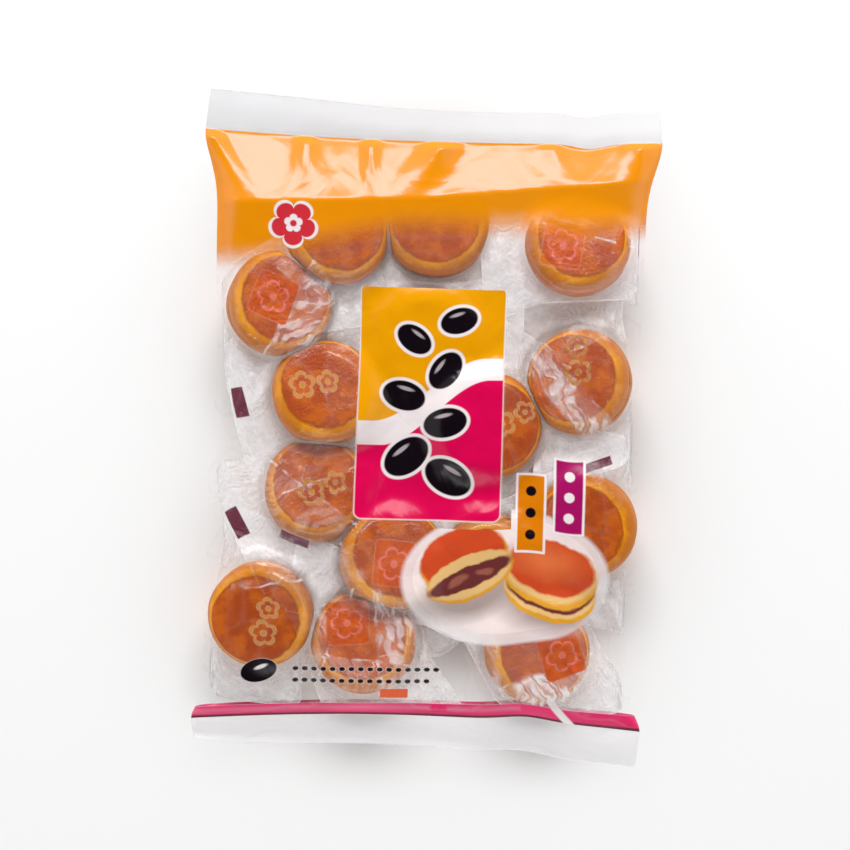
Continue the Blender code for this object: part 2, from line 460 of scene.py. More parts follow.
def boxGroup():  # a filled box with rounded corners
    tree, inputs, outputs = newGroup("printBox", shapeVectors, ("Turn", "Rounding", "Edge"))
    place = vectorCalc(tree, "ABSOLUTE", turnedPlace(tree, inputs))
    corner = join(tree, inputs["Rounding"], inputs["Rounding"])
    past = vectorCalc(tree, "SUBTRACT", place,
                      vectorCalc(tree, "SUBTRACT", inputs["Half Size"], corner))
    outside = distanceFrom(tree, vectorCalc(tree, "MAXIMUM", past, (0.0, 0.0, 0.0)))
    pastX, pastY, _ = split(tree, past)
    inside = calc(tree, "MINIMUM", calc(tree, "MAXIMUM", pastX, pastY), 0.0)
    distance = calc(tree, "SUBTRACT", calc(tree, "ADD", outside, inside), inputs["Rounding"])
    feed(tree, outputs["Mask"], softMask(tree, inputs, distance))
    return tree


def ovalGroup():  # a filled oval
    tree, inputs, outputs = newGroup("printOval", shapeVectors, ("Turn", "Edge"))
    place = vectorCalc(tree, "DIVIDE", turnedPlace(tree, inputs), inputs["Half Size"])
    halfX, halfY, _ = split(tree, inputs["Half Size"])
    past = calc(tree, "SUBTRACT", distanceFrom(tree, place), 1.0)
    distance = calc(tree, "MULTIPLY", past, calc(tree, "MINIMUM", halfX, halfY))
    feed(tree, outputs["Mask"], softMask(tree, inputs, distance))
    return tree


def blossomGroup():  # five round petals
    tree, inputs, outputs = newGroup("printBlossom", shapeVectors, ("Turn", "Edge"))
    place = vectorCalc(tree, "DIVIDE", turnedPlace(tree, inputs), inputs["Half Size"])
    x, y, _ = split(tree, place)
    angle = calc(tree, "ARCTAN2", y, x)
    petal = calc(tree, "ABSOLUTE", calc(tree, "SINE", calc(tree, "MULTIPLY", angle, 2.5)))
    reach = calc(tree, "MULTIPLY_ADD", calc(tree, "SQRT", petal), 0.38, 0.62)
    past = calc(tree, "SUBTRACT", distanceFrom(tree, place), reach)
    distance = calc(tree, "MULTIPLY", past, split(tree, inputs["Half Size"])[0])
    feed(tree, outputs["Mask"], softMask(tree, inputs, distance))
    return tree


def belowGroup():  # everything below a line that sweeps from one height to another
    tree, inputs, outputs = newGroup("printBelow", ("Place", "From", "To"), ("Edge",))
    x, y, _ = split(tree, inputs["Place"])
    startX, startY, _ = split(tree, inputs["From"])
    endX, endY, _ = split(tree, inputs["To"])
    line = remap(tree, x, startX, endX, startY, endY, smooth=True)
    distance = calc(tree, "SUBTRACT", y, line)
    feed(tree, outputs["Mask"], softMask(tree, inputs, distance))
    return tree


def rowGroup():  # a row of small dots
    tree, inputs, outputs = newGroup("printRow", shapeVectors, ("Turn", "Pitch", "Dot", "Edge"))
    x, y, _ = split(tree, turnedPlace(tree, inputs))
    halfX, halfY, _ = split(tree, inputs["Half Size"])
    ahead = calc(tree, "MULTIPLY", inputs["Pitch"], 0.5)
    behind = calc(tree, "MULTIPLY", inputs["Pitch"], -0.5)
    step = calc(tree, "WRAP", calc(tree, "ADD", x, halfX), ahead, behind)
    inDot = join(tree, calc(tree, "DIVIDE", step, inputs["Dot"]), calc(tree, "DIVIDE", y, halfY))
    past = calc(tree, "SUBTRACT", distanceFrom(tree, inDot), 1.0)
    dot = softMask(tree, inputs, calc(tree, "MULTIPLY", past, halfY))
    end = calc(tree, "MULTIPLY_ADD", inputs["Pitch"], 0.4, halfX)
    inRow = calc(tree, "LESS_THAN", calc(tree, "ABSOLUTE", x), end)
    feed(tree, outputs["Mask"], calc(tree, "MULTIPLY", dot, inRow))
    return tree


def inCells(tree, inputs):  # the place, counted in cells of one size
    cells = addNode(tree, "ShaderNodeVectorMath", operation="SCALE")
    feed(tree, cells.inputs[0], inputs["Place"])
    feed(tree, cells.inputs["Scale"], calc(tree, "DIVIDE", 1.0, inputs["Size"]))
    return cells.outputs[0]


def crumpleGroup():  # the flat facets and fold lines of crumpled film
    tree, inputs, outputs = newGroup("crumpledFilm", ("Place",), ("Size",), ("Height", "Line"))
    cells = inCells(tree, inputs)
    warp = noiseAt(tree, cells, 0.55, 1.0, "Color", noise_dimensions="2D")
    moved = vectorCalc(tree, "MULTIPLY_ADD", warp, (1.6, 1.6, 0.0), cells)
    flat = {"voronoi_dimensions": "2D"}
    large = cellsAt(tree, moved, 1.0, **flat, feature="F1", distance="CHEBYCHEV")
    small = cellsAt(tree, moved, 2.3, **flat, feature="F1", distance="CHEBYCHEV")
    feed(tree, outputs["Height"], calc(tree, "MULTIPLY_ADD", small, 0.4, large))
    edge = cellsAt(tree, moved, 1.0, **flat, feature="DISTANCE_TO_EDGE")
    feed(tree, outputs["Line"], remap(tree, edge, 0.0, 0.07, 1.0, 0.0, smooth=True))
    return tree


def pulledGroup():  # long thin folds in film that is pulled along X
    tree, inputs, outputs = newGroup("pulledFilm", ("Place",), ("Size",), ("Height",))
    cells = inCells(tree, inputs)
    warp = noiseAt(tree, cells, 0.35, 2.0, "Color", noise_dimensions="2D")
    moved = vectorCalc(tree, "MULTIPLY_ADD", warp, (1.5, 3.0, 0.0), cells)
    stretched = vectorCalc(tree, "MULTIPLY", moved, (0.16, 1.0, 0.0))
    folds = noiseAt(tree, stretched, 1.0, 1.5, noise_dimensions="2D")
    ridge = calc(tree, "ABSOLUTE", calc(tree, "SUBTRACT", folds, 0.5))
    feed(tree, outputs["Height"], calc(tree, "SUBTRACT", 0.5, ridge))
    return tree


groups = {"box": boxGroup(), "oval": ovalGroup(), "blossom": blossomGroup(), "below": belowGroup(),
          "row": rowGroup(), "crumple": crumpleGroup(), "pulled": pulledGroup()}

inks = {
    "orange": (0.84, 0.28, 0.001),
    "labelOrange": (0.82, 0.34, 0.001),
    "magenta": (0.70, 0.002, 0.08),
    "stripe": (0.78, 0.03, 0.15),
    # a pale painted glare along the upper edge of the bottom stripe
    "paintedStripeGlare": (0.74, 0.17, 0.28),
    "wine": (0.12, 0.010, 0.028),
    "purple": (0.38, 0.006, 0.12),
    "tagOrange": (0.70, 0.20, 0.002),
    "white": (0.86, 0.78, 0.79),
    "plate": (0.90, 0.78, 0.765),
    "plateRim": (0.86, 0.80, 0.80),
    "plateShade": (0.46, 0.37, 0.35),
    "black": (0.006, 0.003, 0.006),
    "grey": (0.42, 0.36, 0.38),
    "red": (0.62, 0.03, 0.045),
    "orangeRed": (0.80, 0.12, 0.03),
    "crust": (0.62, 0.07, 0.02),
    "crustLight": (0.76, 0.17, 0.05),
    "crustLow": (0.72, 0.34, 0.03),
    "crumb": (0.80, 0.50, 0.20),
    "bean": (0.15, 0.03, 0.03),
    "beanLight": (0.32, 0.10, 0.07),
}

# drawn food has no true ovals
unevenInks = ("crust", "crustLight", "crustLow", "crumb", "bean", "beanLight")


# One printed shape: box, oval, blossom, row or below, with its ink, its centre and half its size.
# A "below" shape has the two ends of its line there instead. "inside" keeps a shape within an
# earlier one, "fade" is the width of its soft edge, and "pitch" the step of a row of dots.
def layer(shape, ink, at, half, turn=0, rounding=0.0, fade=0.5, inside=None, opacity=0.999,
          name=None, pitch=None):
    return dict(shape=shape, ink=ink, at=at, half=half, turn=turn, rounding=rounding, fade=fade,
                inside=inside, opacity=opacity, name=name, pitch=pitch)


def beanLayers(x, y, turn, size=1.0):  # a dark bean with a pale halo and a thin pale seam
    half = (8.6 * size, 5.8 * size)
    aside = math.radians(turn + 90)
    seam = (x + 2.9 * size * math.cos(aside), y + 2.9 * size * math.sin(aside))
    return [
        layer("oval", "white", (x, y), (half[0] + 1.5, half[1] + 1.5), turn),
        layer("oval", "black", (x, y), half, turn),
        layer("oval", "grey", seam, (3.2 * size, 0.75 * size), turn),
    ]


def tagLayers(ink, dots, x, y, halfWide, halfHigh):  # a small upright tag with three dots
    tag = [
        layer("box", "white", (x, y), (halfWide + 1.1, halfHigh + 1.1), rounding=0.6),
        layer("box", ink, (x, y), (halfWide, halfHigh), rounding=0.3),
    ]
    for step in (-0.58, 0.0, 0.58):
        tag.append(layer("oval", dots, (x, y + step * halfHigh), (2.3, 2.3)))
    return tag


# The zones of the film, each with a material: x and y ranges on the flat bag. The first zone that
# holds a face has it, and only those with "both" take in the back film.
zones = [
    {"name": "topFin", "x": (-120, 120), "y": (133, 160), "both": True},
    {"name": "bottomFin", "x": (-120, 120), "y": (-160, -133), "both": True},
    {"name": "band", "x": (-120, 120), "y": (64, 133), "both": False},
    {"name": "bandBack", "x": (-120, 120), "y": (64, 133), "both": True},
    {"name": "label", "x": (-36, 40), "y": (-46, 64), "both": False},
    {"name": "picture", "x": (-16, 92), "y": (-104, 64), "both": False},
    {"name": "foot", "x": (-120, 120), "y": (-133, -102), "both": False},
    {"name": "footBack", "x": (-120, 120), "y": (-133, -102), "both": True},
    {"name": "clear", "x": (-200, 200), "y": (-400, 400), "both": True},
]

# The print of each zone, from the lowest shape up
labelMiddle = (2.1, 12.0)
bandLayer = layer("box", "orange", (0, 72.75), (130, 60), opacity=0.99, name="band")
bandFoot = layer("below", "orange", (-100.0, 76.0), (0.0, 94.5), fade=17.0)
# The bottom stripe's print, with painted light on it: pale painted glare along its upper edge and a
# painted white glint across it right of the middle
stripeAndGlareLayers = [
    layer("box", "stripe", (0, -129.9), (130, 3.4), 0.55, fade=0.4),
    layer("box", "paintedStripeGlare", (-52, -129.2), (58, 0.9), 0.55, fade=2.2),
    layer("box", "paintedStripeGlare", (30, -128.6), (16, 0.8), 0.55, fade=2.0),
    layer("box", "wine", (0, -132.3), (130, 0.85), 0.1, fade=0.7, opacity=0.97),
    # a painted white glint across the stripe
    layer("box", "white", (63.6, -128.5), (1.9, 8.0), 33, fade=0.9, opacity=0.8),
]
printLayers = {
    "band": [
        bandLayer,
        layer("blossom", "white", (-61.5, 91.5), (11.5, 11.5), 18),
        layer("blossom", "red", (-61.5, 91.5), (10.0, 10.0), 18),
        layer("blossom", "white", (-61.5, 91.5), (4.2, 4.2), 54),
        layer("oval", "red", (-61.5, 91.5), (1.5, 1.5)),
    ],
    "label": [
        layer("box", "white", labelMiddle, (33.0, 54.2), rounding=3.6, fade=0.8, opacity=0.9),
        layer("box", "labelOrange", labelMiddle, (32.5, 53.7), rounding=3.2, name="label"),
        layer("below", "white", (-24.0, 3.0), (27.0, 33.0), inside="label"),
        layer("below", "magenta", (-20.0, -8.0), (29.0, 23.0), inside="label"),
        *beanLayers(14.0, 50.0, 20),
        *beanLayers(-6.0, 41.0, -35),
        *beanLayers(8.5, 27.0, 55, 1.1),
        *beanLayers(-10.0, 15.0, -15, 1.15),
        *beanLayers(9.0, 3.0, 15, 1.15),
        *beanLayers(-8.0, -13.0, 40, 1.3),
        *beanLayers(11.0, -22.0, -30, 1.3),
    ],
    "picture": [
        layer("oval", "plateRim", (38.0, -67.5), (46.5, 31.0), 4, fade=1.6, opacity=0.8),
        layer("oval", "plate", (38.0, -66.5), (42.5, 27.4), 4, fade=1.6, opacity=0.93),
        layer("oval", "plateShade", (58.0, -79.0), (23.0, 11.5), 0, fade=7.0, opacity=0.45),
        layer("oval", "plateShade", (23.0, -74.5), (22.0, 11.0), 20, fade=7.0, opacity=0.45),
        layer("oval", "crustLow", (58.5, -73.0), (20.6, 13.6), -6),
        layer("oval", "crumb", (58.5, -70.6), (20.8, 13.6), -6),
        layer("oval", "bean", (58.5, -68.9), (20.2, 13.2), -6, fade=0.8),
        layer("oval", "crustLow", (58.5, -66.4), (20.9, 13.9), -6, fade=0.8),
        layer("oval", "crumb", (58.5, -63.6), (20.8, 13.8), -6, fade=1.6),
        layer("oval", "crust", (58.5, -62.0), (19.6, 12.6), -6, fade=1.2),
        layer("oval", "crustLight", (56.0, -59.0), (13.0, 6.5), -6, fade=9.0, opacity=0.6),
        layer("oval", "crustLow", (19.4, -60.0), (20.4, 14.2), 24, fade=1.0),
        layer("oval", "crust", (18.6, -58.2), (19.6, 13.0), 24, fade=1.2),
        layer("oval", "crustLow", (22.4, -67.4), (20.6, 10.0), 26, fade=0.8),
        layer("oval", "crumb", (22.0, -66.8), (20.0, 9.2), 26, fade=0.8),
        layer("oval", "bean", (22.2, -67.4), (20.2, 4.6), 26, fade=0.7),
        layer("oval", "beanLight", (17.0, -69.4), (5.0, 1.8), 36, fade=0.9),
        layer("oval", "beanLight", (28.6, -64.6), (4.0, 1.6), 10, fade=0.9),
        *tagLayers("tagOrange", "black", 48.5, -37.9, 5.8, 17.2),
        *tagLayers("purple", "white", 65.5, -28.3, 6.0, 16.4),
    ],
    "foot": [
        layer("row", "black", (-23.0, -110.8), (31.5, 1.1), pitch=4.2, opacity=0.97),
        layer("row", "black", (-25.1, -116.2), (29.4, 1.1), pitch=4.2, opacity=0.97),
        layer("oval", "black", (-71.0, -111.5), (8.4, 5.4), 12),
        layer("oval", "white", (-70.0, -109.8), (3.0, 0.9), 20),
        *stripeAndGlareLayers,
        layer("box", "orangeRed", (-10.1, -121.9), (6.3, 2.3), rounding=0.5),
    ],
    "bandBack": [bandLayer],
    "footBack": stripeAndGlareLayers,
}


def layerMask(tree, place, item):
    at, half = (*item["at"], 0.0), (*item["half"], 1.0)
    if item["shape"] == "below":
        values = {"From": at, "To": half}
    else:
        values = {"Centre": at, "Half Size": half, "Turn": math.radians(item["turn"])}
    if item["shape"] == "box":
        values["Rounding"] = item["rounding"]
    if item["shape"] == "row":
        values["Pitch"], values["Dot"] = item["pitch"], 0.36 * item["pitch"]
    return useGroup(tree, groups[item["shape"]], Place=place, Edge=item["fade"], **values)["Mask"]


def paintLayers(tree, place, layers):
    # lays the printed shapes over each other and gives their colour and how much they cover
    waver = noiseAt(tree, place, 0.16, 2.0, "Color", noise_dimensions="2D")
    middle = vectorCalc(tree, "SUBTRACT", place, (1.0, 1.0, 0.0))
    drift = vectorCalc(tree, "MULTIPLY_ADD", waver, (2.0, 2.0, 0.0), middle)
    banded = any(item["name"] == "band" for item in layers)
    colour = inks["orange" if banded else "white"]  # the band's foot thins out in its own colour
    cover = 0.0
    named = {}
    for item in layers:
        mask = layerMask(tree, drift if item["ink"] in unevenInks else place, item)
        if item["name"] == "band":  # its foot fades out along a sweeping line
            foot = layerMask(tree, place, bandFoot)
            foot = remap(tree, foot, 0.0, 1.0, 1.0, 0.0, smooth=True)
            mask = calc(tree, "MULTIPLY", mask, foot)
        if item["inside"]:
            mask = calc(tree, "MULTIPLY", mask, named[item["inside"]])
        named[item["name"]] = mask
        colour = mixColour(tree, mask, colour, inks[item["ink"]])
        cover = calc(tree, "MAXIMUM", cover, calc(tree, "MULTIPLY", mask, item["opacity"]))
    return colour, cover


# How much the clear film hazes what lies under it, and more along its fold lines, its creases'
# size and slope, and its gloss. mostShine keeps it clear where it is seen at a low angle, and
# print that covers less than clearShare takes on the haze's colour.
filmLook = {
    "flatSpan": (220.0, 320.0),  # millimetres across the film's own UV map
    "haze": 0.004,
    "lineHaze": 0.03,
    "hazeColour": (0.78, 0.76, 0.79),
    "clearShare": 0.9,
    "crumpleSize": 24.0,
    "crumpleSlope": 0.035,
    "roughness": 0.3,
    "glossRoughness": 0.17,
    "ior": 1.28,
    "mostShine": 0.05,
    "innerShine": 0.02,
    "shineColour": (1.0, 1.0, 1.0),
}
bandLook = dict(filmLook, crumpleSlope=0.02, glossRoughness=0.2, ior=1.52, clearShare=0.12,
                mostShine=0.046, shineColour=(0.9, 0.75, 1.0))
# the ribs of the seals, and the share of the haze that is left at a fin's right end. The bottom
# fin's dense pale haze is partly the milk of the crimped seal and partly painted light over the
# shadow that the sweets cast on it.
finLook = dict(filmLook, haze=0.55, lineHaze=0.0, hazeColour=(0.92, 0.90, 0.92),
               glossRoughness=0.4, crumpleSlope=0.08, ribPitch=1.4, ribHeight=0.012,
               fadeFrom=-50.0, fadeTo=60.0, farHaze=1.0)
# the top fin's dark grey haze is painted shade, for the grey that the clear fin shows against the
# pale floor; it fades to half towards the fin's right end
topFinLook = dict(finLook, haze=0.27, hazeColour=(0.46, 0.45, 0.48), ior=1.3, glossRoughness=0.5,
                  crumpleSlope=0.03, farHaze=0.5)
filmLooks = {"band": bandLook, "bandBack": bandLook, "topFin": topFinLook, "bottomFin": finLook}
passedLight = 0.98


def newMaterial(name):
    material = bpy.data.materials.new(name)
    material.use_nodes = True
    tree = material.node_tree
    return material, tree, tree.nodes["Principled BSDF"], tree.nodes["Material Output"]


def clearFilm(tree, shader, output, colour, cover, look, height):
    # a thin film: print or haze where it covers, the view through elsewhere, gloss on top
    relief = look["crumpleSlope"] * look["crumpleSize"] * millimetre
    normal = bumpNormal(tree, height, relief)
    feed(tree, shader.inputs["Base Color"], colour)
    feed(tree, shader.inputs["Alpha"], cover)
    feed(tree, shader.inputs["Normal"], normal)
    shader.inputs["Roughness"].default_value = look["roughness"]
    shader.inputs["Specular IOR Level"].default_value = 0.0  # the gloss below stands for it
    gloss = addNode(tree, "ShaderNodeBsdfGlossy")
    gloss.inputs["Roughness"].default_value = look["glossRoughness"]
    gloss.inputs["Color"].default_value = (*look["shineColour"], 1.0)
    feed(tree, gloss.inputs["Normal"], normal)
    fresnel = addNode(tree, "ShaderNodeFresnel")
    fresnel.inputs["IOR"].default_value = look["ior"]
    feed(tree, fresnel.inputs["Normal"], normal)
    shine = addNode(tree, "ShaderNodeMix")  # seen from inside, a film is no block of glass
    feed(tree, shine.inputs[0], addNode(tree, "ShaderNodeNewGeometry").outputs["Backfacing"])
    feed(tree, shine.inputs[2], calc(tree, "MINIMUM", fresnel.outputs[0], look["mostShine"]))
    feed(tree, shine.inputs[3], look["innerShine"])
    seen = mixShader(tree, shine.outputs[0], shader.outputs[0], gloss.outputs[0])
    # light passes the thin film almost whole, and only the eye meets its haze and gloss
    path = addNode(tree, "ShaderNodeLightPath").outputs
    passes = calc(tree, "MAXIMUM", path["Is Shadow Ray"], path["Is Diffuse Ray"])
    through = addNode(tree, "ShaderNodeBsdfTransparent")
    through.inputs["Color"].default_value = (passedLight, passedLight, passedLight, 1.0)
    feed(tree, output.inputs["Surface"], mixShader(tree, passes, seen, through.outputs[0]))


def flatPlace(tree, span):  # the place on the flat film, in millimetres from its middle
    uv = addNode(tree, "ShaderNodeUVMap", uv_map="flat")
    middle = vectorCalc(tree, "SUBTRACT", uv.outputs[0], (0.5, 0.5, 0.0))
    return vectorCalc(tree, "MULTIPLY", middle, (*span, 0.0))


def bagFilmMaterial(zone):
    material, tree, shader, output = newMaterial("bagFilm" + zone.capitalize())
    look = filmLooks.get(zone, filmLook)
    place = flatPlace(tree, look["flatSpan"])
    colour, printed = paintLayers(tree, place, printLayers.get(zone, []))
    solid = remap(tree, printed, 0.0, look["clearShare"])
    colour = mixColour(tree, solid, look["hazeColour"], colour)
    crumple = useGroup(tree, groups["crumple"], Place=place, Size=look["crumpleSize"])
    height = crumple["Height"]
    haze = calc(tree, "MULTIPLY_ADD", crumple["Line"], look["lineHaze"], look["haze"])
    if zone.endswith("Fin"):
        x, y, _ = split(tree, place)
        rib = calc(tree, "SINE", calc(tree, "MULTIPLY", y, 2 * math.pi / look["ribPitch"]))
        height = calc(tree, "MULTIPLY_ADD", rib, look["ribHeight"], height)
        fading = remap(tree, x, look["fadeFrom"], look["fadeTo"], 1.0, look["farHaze"])
        haze = calc(tree, "MULTIPLY", haze, fading)
    cover = calc(tree, "MAXIMUM", printed, haze)
    clearFilm(tree, shader, output, colour, cover, look, height)
    return material


filmMesh = {
    "columns": 130,
    "bodyRows": 190,
    "finRows": 14,
    # the slack front's wrinkles: their height, their size and the seed of their draws
    "wrinkles": ((0.55, 17.0, 3), (0.2, 7.0, 4)),
    # from what y on the front is drawn smooth, over what length, and by how much
    "smoothFrom": 86.0,
    "smoothLength": 16.0,
    "smoothShare": 0.94,
    # pleats at the seals: their height, how far in they are deepest, their size and their seed
    "backPleats": (0.35, 11.0, 17.0, 5),
    "bottomPleats": (0.8, 8.0, 11.0, 8),
    "pleatLean": 0.35,  # how far the back's pleats lean sideways
    # how far a fin turns down over its length, in radians: the least, how much more, and the place
    # and length over which that comes in. Then what is added at the bottom fin's left corner.
    "topCurl": (0.35, 0.85, -45.0, 18.0),
    "bottomCurl": (0.55, 0.55, 45.0, -14.0),
    "cornerCurl": (0.85, -102.0, 22.0),
    # a fin's waves: their height, their size, how far they change along the fin, and the seeds
    "finWaves": (0.9, 16.0, 12.0, 21, 22),
    "finTaper": 0.015,
}


def spread(share):  # closer columns towards the sides
    return 0.45 * share + 0.55 * np.sin(share * math.pi / 2)


def finCurl(x, top):
    least, more, place, length = filmMesh["topCurl" if top else "bottomCurl"]
    curl = least + more / (1.0 + np.exp(-(x - place) / length))
    if top:
        return curl
    height, corner, reach = filmMesh["cornerCurl"]
    return curl + height * np.exp((corner - x) / reach)


def finPoints(across, out, top, face):  # an arc that starts level at the seal and turns down
    x = across * (bag["sealWidthTop"] if top else bag["sealWidthBottom"]) / 2
    curl = finCurl(x, top)
    turned = curl * out
    radius = (bag["topFin"] if top else bag["bottomFin"]) / curl
    offset = face * bag["filmGap"] / 2
    y = sealLine(x, top) + (1 if top else -1) * (radius + offset) * np.sin(turned)
    z = sealHeight(x, top) - radius * (1.0 - np.cos(turned)) + offset * np.cos(turned)
    height, size, change, topSeed, bottomSeed = filmMesh["finWaves"]
    waves = creases(x, change * out, size, topSeed if top else bottomSeed, folds=4)
    z = z + height * np.sqrt(out) * waves
    return np.stack([x * (1.0 - filmMesh["finTaper"] * out), y, z], 1)


def pleats(x, y, fromSeal, height, reach, size, seed):
    depth = height * fromSeal / reach * np.exp(1.0 - fromSeal / reach)
    return depth * creases(x, 0.3 * y, size, seed, folds=5)


def bodyPoints(across, along, face):
    middle = across * bag["sealWidthBottom"] / 2
    y = blendTo(sealLine(middle, False), sealLine(middle, True), (along + 1) / 2)
    side = np.where(across < 0, -1, 1)
    x = across * halfWidth(side, y)
    fromTop = np.maximum(sealLine(x, True) - y, 0.0)
    fromBottom = np.maximum(y - sealLine(x, False), 0.0)
    wrinkled = sum(height * creases(x, y, size, seed)
                   for height, size, seed in filmMesh["wrinkles"])
    pastSlack = ramp(y, filmMesh["smoothFrom"], filmMesh["smoothLength"])
    slack = fullness(x, y, side, "topWedge") ** 2 * (1.0 - filmMesh["smoothShare"] * pastSlack)
    front = frontHeight(x, y, side) + wedgeRelief(x, y) + slack * wrinkled
    leaning = x + filmMesh["pleatLean"] * fromTop
    back = backHeight(x, y, side) + pleats(leaning, y, fromTop, *filmMesh["backPleats"])
    z = np.where(face > 0, front, back)
    z = z + face * pleats(x, y, fromBottom, *filmMesh["bottomPleats"])
    return np.stack([x, y, z], 1)


def zoneOf(x, y, onFront):  # the first zone that holds each face
    where = np.full(len(x), len(zones) - 1)
    for index in reversed(range(len(zones))):
        zone = zones[index]
        held = (x > zone["x"][0]) & (x < zone["x"][1]) & (y > zone["y"][0]) & (y < zone["y"][1])
        where = np.where(held & (onFront | zone["both"]), index, where)
    return where.astype(np.int32)


def makeBagFilm():
    columns, finRows, bodyRows = filmMesh["columns"], filmMesh["finRows"], filmMesh["bodyRows"]
    rows = bodyRows + 2 * finRows
    mesh = filmSlab(columns, rows)
    grid = readPoints(mesh)
    across = spread(grid[:, 0])
    row = np.rint((grid[:, 1] + 1) / 2 * rows)
    face = np.where(grid[:, 2] > 0.5, 1.0, -1.0)
    along = np.clip(2 * (row - finRows) / bodyRows - 1, -1, 1)
    along = 0.6 * along + 0.4 * np.sin(along * math.pi / 2)  # closer rows towards the seals
    lowOut = np.clip(1 - row / finRows, 0, 1)
    highOut = np.clip(1 - (rows - row) / finRows, 0, 1)
    points = bodyPoints(across, along, face)
    for out, top in ((lowOut, False), (highOut, True)):
        points = np.where((out > 0)[:, None], finPoints(across, out, top, face), points)
    writePoints(mesh, points)
    flatX = across * drawnHalf
    flatY = along * bag["sealToSeal"] / 2 + highOut * bag["topFin"] - lowOut * bag["bottomFin"]
    writeUv(mesh, 0.5 + flatX / filmLook["flatSpan"][0], 0.5 + flatY / filmLook["flatSpan"][1])
    corners = np.array([polygon.vertices[:] for polygon in mesh.polygons])
    where = zoneOf(flatX[corners].mean(1), flatY[corners].mean(1), face[corners].min(1) > 0)
    mesh.polygons.foreach_set("material_index", where)
    return mesh, points


print("bag film")
bagMesh, bagPoints = makeBagFilm()
low, high = bagPoints.min(0), bagPoints.max(0)
# the whole bag is centred over the origin, with its lowest point on the table
settle = Vector((-(low[0] + high[0]) / 2, -(low[1] + high[1]) / 2, -low[2]))
intoPlace = Matrix.Scale(millimetre, 4) @ Matrix.Translation(settle)
bagMesh.transform(intoPlace)
filmMaterials = [bagFilmMaterial(zone["name"]) for zone in zones]
bagFilm = addPiece("bagFilm", bagMesh, filmMaterials)
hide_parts("bag")


# The sweets: two pancakes, each a spun profile, round a layer of bean paste
pancake = {
    # radius and height of the upper pancake's outline, and its tone: 0 on the browned face,
    # 1 on the golden side
    "outline": (
        (0.0, 10.1, 0.0), (5.0, 10.1, 0.0), (10.0, 10.0, 0.0), (14.0, 9.9, 0.0), (17.0, 9.7, 0.0),
        (18.4, 9.5, 0.05), (19.2, 9.3, 0.14), (20.0, 9.0, 0.42), (21.0, 8.4, 0.6),
        (21.9, 7.6, 0.72), (22.6, 6.6, 0.9), (23.15, 5.4, 1.0), (23.5, 4.2, 1.0), (23.5, 3.0, 0.9),
        (23.1, 1.9, 0.8), (22.4, 1.2, 0.7), (21.4, 1.5, 0.6), (18.0, 2.8, 0.5), (0.0, 4.2, 0.5),
    ),
    "segments": 72,
    "wobble": 0.011,  # how far it is from round, as a share of its radius
    "dimple": 0.44,  # how far it is from flat
    "faceShift": 1.8,  # how far off centre the browned face lies, towards the low side
    # the face's radius and over what width it shifts, and the height that it starts above
    "faceRadius": 22.6,
    "faceWidth": 3.4,
    "faceAbove": 5.0,
}
beanLayer = {
    "outline": (
        (0.0, 4.1), (17.5, 2.7), (20.6, 1.5), (22.3, 0.7), (22.5, 0.0), (22.3, -0.7), (20.6, -1.5),
        (17.5, -2.7), (0.0, -4.1),
    ),
    "segments": 72,
    "wobble": 0.02,
    "dimple": 1.0,
}


def spunMesh(form):
    bm = bmesh.new()
    verts = [bm.verts.new((point[0], 0.0, point[1])) for point in form["outline"]]
    edges = [bm.edges.new(pair) for pair in zip(verts, verts[1:])]
    bmesh.ops.spin(bm, geom=verts + edges, angle=2 * math.pi, steps=form["segments"],
                   axis=(0, 0, 1), cent=(0, 0, 0), use_merge=True)
    bmesh.ops.remove_doubles(bm, verts=bm.verts[:], dist=0.001)
    bmesh.ops.recalc_face_normals(bm, faces=bm.faces[:])
    return closeMesh(bm, "spun")


def makeUneven(mesh, form, seed):  # no two sweets are quite the same
    draw = np.random.default_rng(seed)
    points = readPoints(mesh)
    angle = np.arctan2(points[:, 1], points[:, 0])
    scale = np.full(len(points), draw.uniform(0.985, 1.015))
    for lobes in (2, 3, 5, 8):
        wave = np.sin(lobes * angle + draw.uniform(0, 6)) * draw.uniform(0.4, 1.0)
        scale += 2 * form["wobble"] / lobes * wave
    points[:, :2] *= scale[:, None]
    places = points * (0.16, 0.16, 0.12) + (seed * 7.1, 0.0, 0.0)
    points[:, 2] += form["dimple"] * np.array([noise.noise(Vector(place)) for place in places])
    writePoints(mesh, points)


def shiftFace(mesh, sweet):  # the golden edge is wider on one side
    points = readPoints(mesh)
    radius = np.hypot(points[:, 0], points[:, 1])
    share = ramp(pancake["faceRadius"] - radius, 0.0, pancake["faceWidth"])
    share = share * (points[:, 2] > pancake["faceAbove"]) * pancake["faceShift"]
    towards = math.radians(sweet["lowSide"] - sweet["turn"])
    points[:, 0] += share * math.cos(towards)
    points[:, 1] += share * math.sin(towards)
    writePoints(mesh, points)


def sweetMatrix(sweet):
    angle = math.radians(sweet["lowSide"])
    low = Vector((math.cos(angle), math.sin(angle), 0.0))
    lean = Matrix.Rotation(math.radians(sweet["lean"]), 4, Vector((0, 0, 1)).cross(low))
    return Matrix.Translation((sweet["x"], sweet["y"], sweetMiddle(sweet))) @ lean


def toneAt(points):  # the crust's tone, read off the nearest point of the outline
    radius = np.hypot(points[:, 0], points[:, 1])
    outline = np.array(pancake["outline"])
    apart = np.hypot(radius[:, None] - outline[:, 0], points[:, 2][:, None] - outline[:, 1])
    return outline[np.argmin(apart, axis=1), 2]


# Where two sweets meet: the gap on each side, over what length a side is pressed flat, and how
# much more the lower one gives way
contact = {"gap": 0.3, "soft": 1.5, "lowerGives": 0.2}


def squeeze(value, limit, soft):  # crowds what is near or past a limit in front of it
    past = np.maximum(value - (limit - soft), 0.0)
    return value - past + soft * (1.0 - np.exp(-past / soft))


